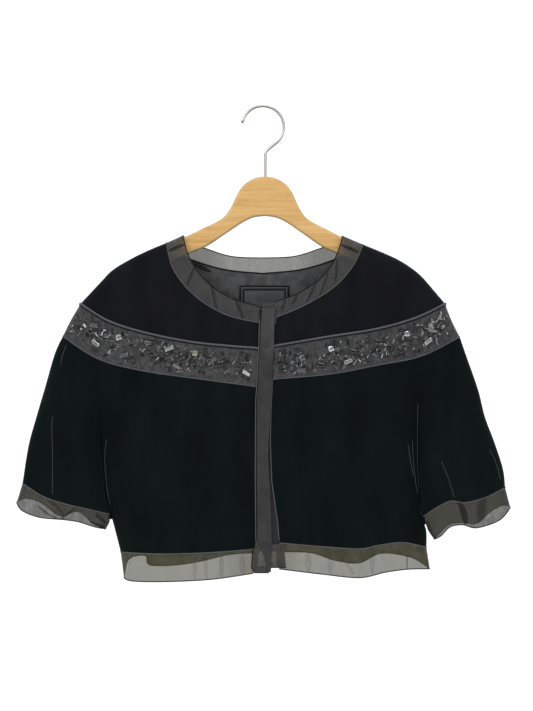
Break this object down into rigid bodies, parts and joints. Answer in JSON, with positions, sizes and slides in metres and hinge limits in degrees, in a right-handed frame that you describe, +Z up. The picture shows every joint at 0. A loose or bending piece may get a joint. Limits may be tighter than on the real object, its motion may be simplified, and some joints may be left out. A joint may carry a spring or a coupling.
{
  "type": "collarless jacket on a hanger",
  "caption": "Cropped collarless velvet jacket with elbow sleeves, a beaded band round the shoulders and sheer edgings, hanging on a wooden hanger.",
  "frame": {"origin": "inside top of the hanger's hook, where a rail carries it", "axes": "+X towards the wearer's left, along the shoulders; +Y towards the wearer's back; +Z up along the hook's stem"},
  "size_m": [0.6654, 0.0762, 0.6435],
  "materials": {
    "velvet": "black velvet with a soft pile",
    "beaded_band": "dark satin sewn with black and clear cut stones",
    "sheer": "sheer black organza",
    "satin": "dark satin",
    "wood": "clear lacquer on pale wood",
    "steel": "bright plated wire"
  },
  "bodies": {
    "root": {"hanger": "wood", "hook": "steel", "yoke_front_right": "velvet", "yoke_front_left": "velvet", "yoke_back": "velvet", "band_front_right": "beaded_band", "band_front_left": "beaded_band", "band_back": "beaded_band", "front_right": "velvet", "front_left": "velvet", "back": "velvet", "sleeve_front_right": "velvet", "sleeve_back_right": "velvet", "sleeve_front_left": "velvet", "sleeve_back_left": "velvet", "neck_edging_front_right": "sheer", "neck_edging_front_left": "sheer", "neck_edging_back": "sheer", "cuff_edging_right": "sheer", "cuff_edging_left": "sheer", "hem_edging_front_right": "sheer", "hem_edging_front_left": "sheer", "hem_edging_back": "sheer", "placket": "satin", "placket_underlap": "satin", "lining_back_neck": "satin", "label": "satin"}
  },
  "joints": []
}
